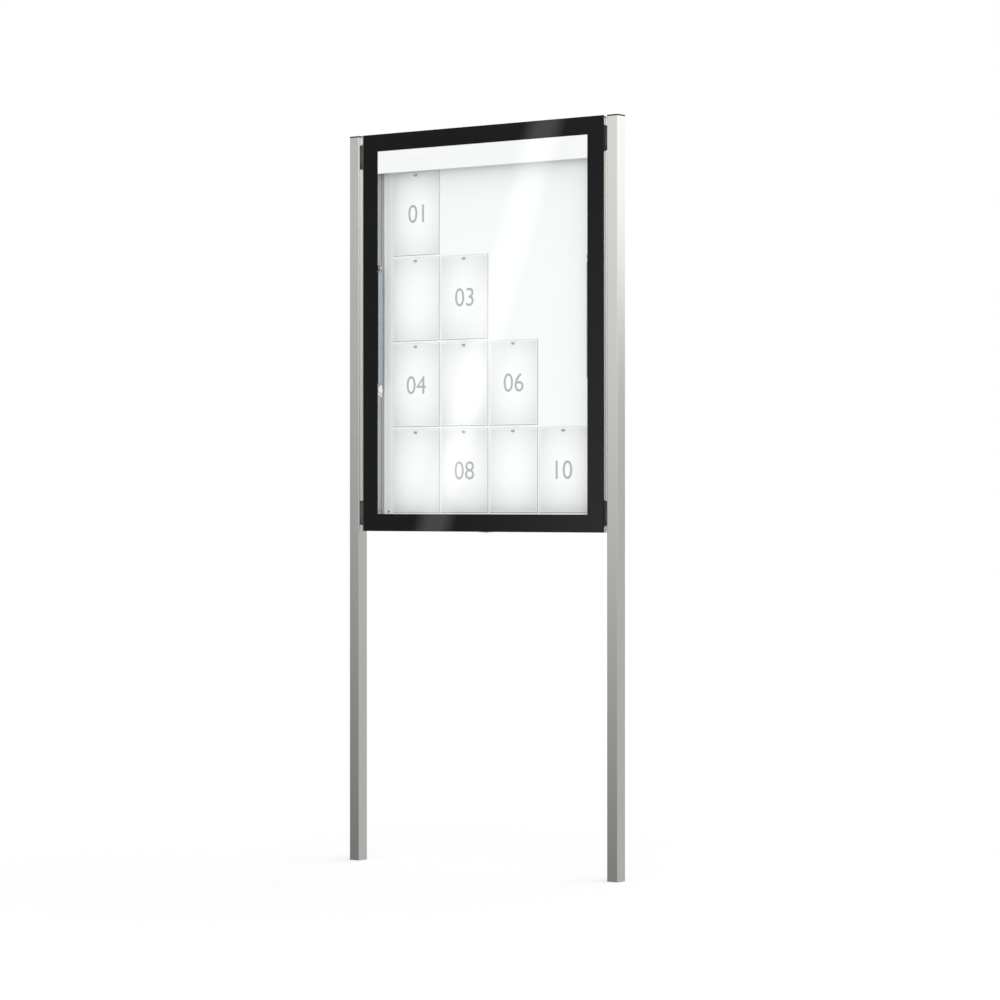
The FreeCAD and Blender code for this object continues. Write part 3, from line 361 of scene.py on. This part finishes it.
# The numbers: plain grey figures in matt printing ink in the middle of six of the sheets,
# which are counted row by row from the top left.
FIGURE_SIZE = 92 * MM
INK = 0.05 * MM
WELD = 0.001 * MM
NUMBERED = {"row1_col1": "01", "row2_col2": "03", "row3_col1": "04", "row3_col3": "06",
            "row4_col2": "08", "row4_col4": "10"}
grey_ink = grained("grey_printing_ink", "#B4B4B4", 0.6, 1.5 * MM, strength=0.05)
for sheet, number in NUMBERED.items():
    low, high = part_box("notice_" + sheet)
    curve = bpy.data.curves.new("figures", "FONT")
    curve.body = number
    curve.size = FIGURE_SIZE
    curve.extrude = INK
    outline = bpy.data.objects.new("figures", curve)
    shape = bmesh.new()
    shape.from_mesh(bpy.data.meshes.new_from_object(outline))
    bpy.data.objects.remove(outline)
    bmesh.ops.remove_doubles(shape, verts=shape.verts, dist=WELD)
    across, up = ([v.co[axis] for v in shape.verts] for axis in (0, 1))
    right = (low.x + high.x - min(across) - max(across)) / 2
    rise = (low.z + high.z - min(up) - max(up)) / 2
    for v in shape.verts:
        v.co = (v.co.x + right, low.y - v.co.z, v.co.y + rise)
    piece("number_" + sheet, shape, grey_ink, "case", "notice_paper")


# The magnets: short rods under a pale blue-grey lacquer, which is smooth and half glossy.
# They hold the sheets at their tops.
wear(cad["magnets"], grained("blue_grey_lacquer", "#9CA2C8", 0.35, 1.0 * MM, strength=0.05))


# The door: one pane of toughened safety glass with ground edges over the whole front, on a
# mitred aluminium frame that a foam tape joins to it, and with a rubber seal at the back.
glass, shader = finish("toughened_glass", "#FFFFFF", roughness=0.0, IOR=1.52,
                       Transmission_Weight=1.0)
# Glass is clear with sharp gleams. Light on its way to something matt passes it straight, so
# that the inside of the case is lit.
tree = glass.node_tree
rays = add(tree, "LightPath")
open_glass = add(tree, "BsdfTransparent", {"Color": linear("#FCFDFD")})
surface = shader
for ray in ("Is Diffuse Ray", "Is Shadow Ray"):
    surface = add(tree, "MixShader", (rays.outputs[ray], surface, open_glass))
feed(tree.nodes["Material Output"], {"Surface": surface})
wear(cad["door_glass"], glass)
# Foam and sponge rubber swallow the light; the frame is brushed brighter than the posts.
wear(cad["glazing_tape"], grained("black_foam_tape", "#161616", 0.9, 0.8 * MM, strength=0.4))
wear(cad["door_seal"],
     grained("black_sponge_rubber", "#18191A", 0.8, 1.2 * MM, strength=0.4))
level_frame = anodised("bright_anodised_frame_level", "X", None, BRIGHT_ANODISED)
upright_frame = anodised("bright_anodised_frame_upright", "Z", None, BRIGHT_ANODISED)
for name in ("door_top_rail", "door_bottom_rail"):
    wear(cad[name], level_frame)
for name in ("door_left_rail", "door_right_rail"):
    wear(cad[name], upright_frame)


# The black border: ceramic ink that is screen printed on the back of the pane and fired into
# it, so that its front lies a little inside the glass. It hides the frame behind it.
FIRED_DEPTH = 0.05 * MM
low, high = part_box("printed_border")
print_corners = [v.co for v in cad["printed_border"].data.vertices]
edges, levels = (sorted({round(corner[axis], 6) for corner in print_corners})
                 for axis in (0, 2))
shape = bmesh.new()
rings = []
for y in (low.y - FIRED_DEPTH, high.y):
    for i in (0, 1):
        left, bottom, right, top = edges[i], levels[i], edges[-1 - i], levels[-1 - i]
        rings.append([shape.verts.new((x, y, z)) for x, z in
                      ((left, bottom), (right, bottom), (right, top), (left, top))])
for first, second in ((0, 1), (2, 3), (0, 2), (1, 3)):
    join(shape, rings[first], rings[second])
# Fired ink is flat black; all its gloss is the pane's.
fired_ink = grained("fired_black_ink", "#141414", 0.6, 0.7 * MM, strength=0.05,
                    Specular_IOR_Level=0.0)
piece("fired_border", shape, fired_ink, "door", "black_glass_print", "printed_border")


# The heading strip: a bare white foam board, smooth and faintly glossy, glued behind the
# glass under the top of the border.
wear(cad["header_panel"], grained("white_foam_board", "#F4F4F4", 0.5, 2 * MM, strength=0.03))


# The gas struts: drawn stainless cylinders with ground and chromed rods, which shine more,
# hung between the door's pins and the powder-coated brackets on the case's inner walls.
CHROME_COLOUR = "#D6D8DB"
ACETAL_COLOUR = "#F2F2F0"
SOCKET_HEIGHT = 24 * MM


def socketed_rod(side):
    """A mirror-bright rod with a socket of smooth white acetal moulded onto its lower end."""
    material = plated("chromed_rod_" + side, CHROME_COLOUR, 0.08)
    tree = material.node_tree
    place = add(tree, "TexCoord").outputs["Object"]
    height = add(tree, "SeparateXYZ", (place,)).outputs["Z"]
    socket_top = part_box(side + "_strut_rod")[0].z + SOCKET_HEIGHT
    metal = add(tree, "Math", (height, socket_top), operation="GREATER_THAN")
    tone = add(tree, "Mix", {0: metal, 6: linear(ACETAL_COLOUR), 7: linear(CHROME_COLOUR)},
               data_type="RGBA")
    feed(tree.nodes["Principled BSDF"], {"Metallic": metal, "Base Color": tone.outputs[2]})
    return material


# Stainless tube is a soft bluish mirror; powder coat is white with a slight orange peel.
stainless = plated("stainless_tube", "#B9BEC8", 0.22)
bracket_paint = grained("white_powder_coat", "#FCFCFC", 0.4, 1.5 * MM, strength=0.1)
for side in ("left", "right"):
    wear(cad[side + "_strut_tube"], stainless)
    wear(cad[side + "_strut_rod"], socketed_rod(side))
    wear(cad[side + "_strut_pin"], zinc_plate)
    wear(cad[side + "_strut_bracket"], bracket_paint)


# The lock: a die-cast cam lock with bright chrome plating in the underside of the case, and a
# bent keeper of zinc-plated steel on the door's bottom rail.
chrome = plated("chromed_lock", "#CDCED0", 0.12)
for name in ("lock_housing", "lock_plug"):
    wear(cad[name], chrome)
wear(cad["lock_keeper"], zinc_plate)


# The studio floor: matt white paint that keeps a faint shadow of the object. Metal doesn't
# mirror it, but the surround's lower half, which stands for a cloth in front of the object.
FLOOR_REACH = 60.0
FLOOR_LIFT = 0.015                 # a little light of its own, for the eye alone
shape = bmesh.new()
bmesh.ops.create_grid(shape, x_segments=1, y_segments=1, size=FLOOR_REACH)
floor_mesh = bpy.data.meshes.new("floor")
shape.to_mesh(floor_mesh)
shape.free()
floor = bpy.data.objects.new("floor", floor_mesh)
bpy.context.scene.collection.objects.link(floor)
floor.visible_glossy = False
floor_paint, shader = finish("pale_floor", "#EFEFEF", roughness=0.9, Specular_IOR_Level=0.0,
                             Emission_Color=linear("#FFFFFF"))
tree = floor_paint.node_tree
rays = add(tree, "LightPath").outputs
seen = add(tree, "Math", (rays["Is Camera Ray"], rays["Is Transmission Ray"]),
           operation="MAXIMUM")
feed(shader, {"Emission Strength": add(tree, "Math", (seen, FLOOR_LIFT),
                                       operation="MULTIPLY")})
wear(floor, floor_paint)
floor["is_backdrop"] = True


# The surround: white to the eye, also through the pane, and for what it lights an even level
# that leans a little to the right. Metal mirrors a softer studio instead, a pale wall that
# darkens downwards to a grey cloth, and so the posts get their long gradient.
FILL = 1.145
FILL_LEAN = 0.4
AHEAD = (-0.604, -0.797, 0.0)      # where the fronts of the posts mirror from
ASIDE = (0.797, -0.604, 0.0)
FRONT_REACH = (0.97, 0.75)         # how far along AHEAD the front ends and the back begins
FRONT_SPAN = (-0.136, 0.125)       # the front wall brightens along ASIDE
FRONT_WALL = (0.3, 1.21)
FRONT_RISE = (-0.184, 0.131)       # heights at which cloth turns to wall
CLOTH = 0.135
BACK_RISE = (0.033, 0.087)
BACK_CLOTH = 0.526
BACK_WALL = 1.25
GROUND_RISE = (-0.3, -0.24)
GROUND = 0.8
world = bpy.data.worlds.new("studio")
bpy.context.scene.world = world
world.use_nodes = True
tree = world.node_tree
way = add(tree, "TexCoord").outputs["Generated"]
x, y, z = add(tree, "SeparateXYZ", (way,)).outputs
ahead = add(tree, "VectorMath", (way, AHEAD), operation="DOT_PRODUCT").outputs["Value"]
aside = add(tree, "VectorMath", (way, ASIDE), operation="DOT_PRODUCT").outputs["Value"]
front_wall = add(tree, "MapRange", (aside, *FRONT_SPAN, *FRONT_WALL))
front = add(tree, "MapRange", (z, *FRONT_RISE, CLOTH, front_wall),
            interpolation_type="SMOOTHSTEP")
back = add(tree, "MapRange", (z, *BACK_RISE, BACK_CLOTH, BACK_WALL),
           interpolation_type="SMOOTHSTEP")
studio = add(tree, "MapRange", (ahead, *FRONT_REACH, front, back),
             interpolation_type="SMOOTHSTEP")
studio = add(tree, "MapRange", (z, *GROUND_RISE, GROUND, studio),
             interpolation_type="SMOOTHSTEP")


# The flag: a dark board in front on the left with a bright slanted slit in it. Only a sharp
# mirror shows it, and so the pane gets its gleams. Places on it are shares of the distance.
FLAG_MIDDLE = (-0.768, 0.065)
FLAG_WIDE = (0.07, 0.09)           # half width where it is full, and where it is gone
FLAG_TALL = (0.09, 0.12)
FLAG_FADE = (-0.78, -0.70)         # it pales to the right, the more the lower down
FLAG_FADE_UP = (0.13, -0.02)
FLAG_DARK = 0.12
FLAG_PALE = (0.18, 0.5)
SLIT_LEAN = 0.352
SLIT_START = -0.7866
SLIT_WIDE = (0.002, 0.0115)
SLIT_LEVEL = 1.05
MIN_DEPTH = 0.001
rays = add(tree, "LightPath").outputs
depth = add(tree, "Math", (y, -1.0), operation="MULTIPLY")
depth = add(tree, "Math", (depth, MIN_DEPTH), operation="MAXIMUM")
board = add(tree, "VectorMath", (way, depth), operation="DIVIDE")
across, _, up = add(tree, "SeparateXYZ", (board,)).outputs
flag = add(tree, "Math", (near(tree, across, FLAG_MIDDLE[0], *FLAG_WIDE),
                          near(tree, up, FLAG_MIDDLE[1], *FLAG_TALL)), operation="MULTIPLY")
flag = add(tree, "Math", (flag, rays["Is Singular Ray"]), operation="MULTIPLY")
slit_middle = add(tree, "Math", (up, SLIT_LEAN, SLIT_START), operation="MULTIPLY_ADD")
slit = near(tree, across, slit_middle, *SLIT_WIDE)
pale = add(tree, "MapRange", (up, *FLAG_FADE_UP, *FLAG_PALE))
flag_level = add(tree, "MapRange", (across, *FLAG_FADE, FLAG_DARK, pale))
flag_level = add(tree, "Math", (slit, SLIT_LEVEL, flag_level), operation="MULTIPLY_ADD")
mirrored = add(tree, "MapRange", (flag, 0, 1, studio, flag_level))

# What a ray gets: white straight from the eye, in Ray Depth's count that starts at one here;
# the mirrored studio by way of metal; and the even fill by way of anything matt.
FIRST_TURN = 1.5
turns = add(tree, "Math", (rays["Ray Depth"], rays["Transmission Depth"]),
            operation="SUBTRACT")
straight = add(tree, "Math", (turns, FIRST_TURN), operation="LESS_THAN")
through = add(tree, "Math", (rays["Is Transmission Ray"], straight), operation="MULTIPLY")
seen = add(tree, "Math", (rays["Is Camera Ray"], through), operation="MAXIMUM")
fill = add(tree, "Math", (x, FILL * FILL_LEAN, FILL), operation="MULTIPLY_ADD")
scattered = add(tree, "Math", (rays["Diffuse Depth"], 0.5), operation="GREATER_THAN")
mirrored = add(tree, "MapRange", (scattered, 0, 1, mirrored, fill))
level = add(tree, "MapRange", (rays["Is Glossy Ray"], 0, 1, fill, mirrored))
level = add(tree, "MapRange", (seen, 0, 1, level, 1.0))
feed(tree.nodes["Background"], {"Color": linear("#FFFFFF"), "Strength": level})


# The key: one broad soft lamp in front on the right, a little above the level, which lights
# the inside of the case past its walls. No mirror shows it, so no hard spark sits on metal.
KEY_WAY = (-0.52, 0.85, -0.06)
KEY_POWER = 0.55
KEY_SPREAD = math.radians(25)
key = bpy.data.lights.new("key", "SUN")
key.energy = KEY_POWER
key.angle = KEY_SPREAD
key_lamp = bpy.data.objects.new("key", key)
key_lamp.visible_glossy = False
key_lamp.visible_transmission = False
key_lamp.rotation_euler = Vector(KEY_WAY).to_track_quat("-Z", "Y").to_euler()
bpy.context.scene.collection.objects.link(key_lamp)


# The camera: it stands to the right of the board and looks level, at the height of a
# reader's chest.
PHOTO_PIXELS = 1000
FOCAL_PIXELS = 3312.9
SENSOR = 36.0
EYE = (7.0138, -9.1621, 1.2887)
TURN = math.radians(37.171)
lens = bpy.data.cameras.new("camera")
lens.sensor_width = SENSOR
lens.lens = FOCAL_PIXELS * SENSOR / PHOTO_PIXELS
camera = bpy.data.objects.new("camera", lens)
camera.location = EYE
camera.rotation_euler = (math.radians(90), 0, TURN)
bpy.context.scene.collection.objects.link(camera)
bpy.context.scene.camera = camera
bpy.context.scene.view_settings.view_transform = "Standard"

low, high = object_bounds()
